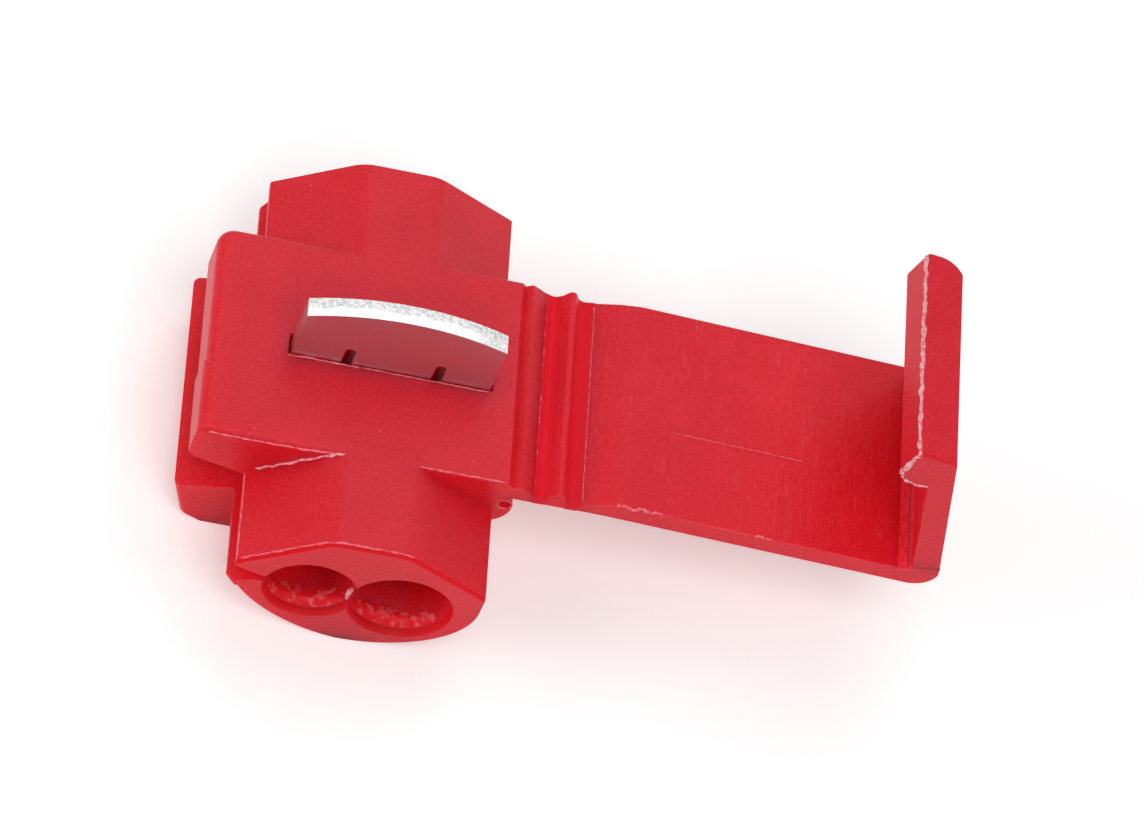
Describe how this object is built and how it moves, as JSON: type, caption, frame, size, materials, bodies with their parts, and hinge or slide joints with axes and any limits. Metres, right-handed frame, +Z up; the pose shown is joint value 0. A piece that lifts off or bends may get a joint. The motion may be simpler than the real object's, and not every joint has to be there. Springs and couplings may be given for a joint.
{
  "type": "wire connector",
  "caption": "Tap-splice wire connector: a moulded body with a through channel, a blind side channel and a slotted contact plate under a hinged cover that latches.",
  "frame": {"origin": "on the plane of the flat seat under the body, midway between the two wire channels and midway along the body", "axes": "+X from the open jaws towards the hinge and the cover, +Y along the wires away from the mouth of the blind channel, +Z up out of the seat"},
  "size_m": [0.0323, 0.0192, 0.015],
  "materials": {
    "red_plastic": "satin moulded polypropylene",
    "contact_metal": "bright tin plating with sheared top edge"
  },
  "bodies": {
    "body": {"housing": "red_plastic"},
    "link": {"hinge_link": "red_plastic"},
    "cover": {"latch_cover": "red_plastic"},
    "latch": {"latch_wall": "red_plastic"},
    "contact": {"contact_plate": "contact_metal"}
  },
  "joints": [
    {"name": "link_fold", "type": "hinge", "parent": "body", "child": "link", "pos_m": [0.00672, 0, 0.00637], "axis": [0, -1, 0], "range_deg": [0, 90]},
    {"name": "cover_fold", "type": "hinge", "parent": "link", "child": "cover", "pos_m": [0.00846, 0, 0.00637], "axis": [0, -1, 0], "range_deg": [0, 93.3]},
    {"name": "latch_flex", "type": "hinge", "parent": "cover", "child": "latch", "pos_m": [0.02433, 0, 0.00674], "axis": [0, 1, 0], "range_deg": [0, 15.5]},
    {"name": "contact_press", "type": "slide", "parent": "body", "child": "contact", "axis": [0, 0, -1], "range_m": [0, 0.0038]}
  ],
  "couplings": [
    {"joint": "latch_flex", "follows": "cover_fold", "ratio": 0.166},
    {"joint": "link_fold", "follows": "contact_press", "rad_per_m": 413.3}
  ]
}
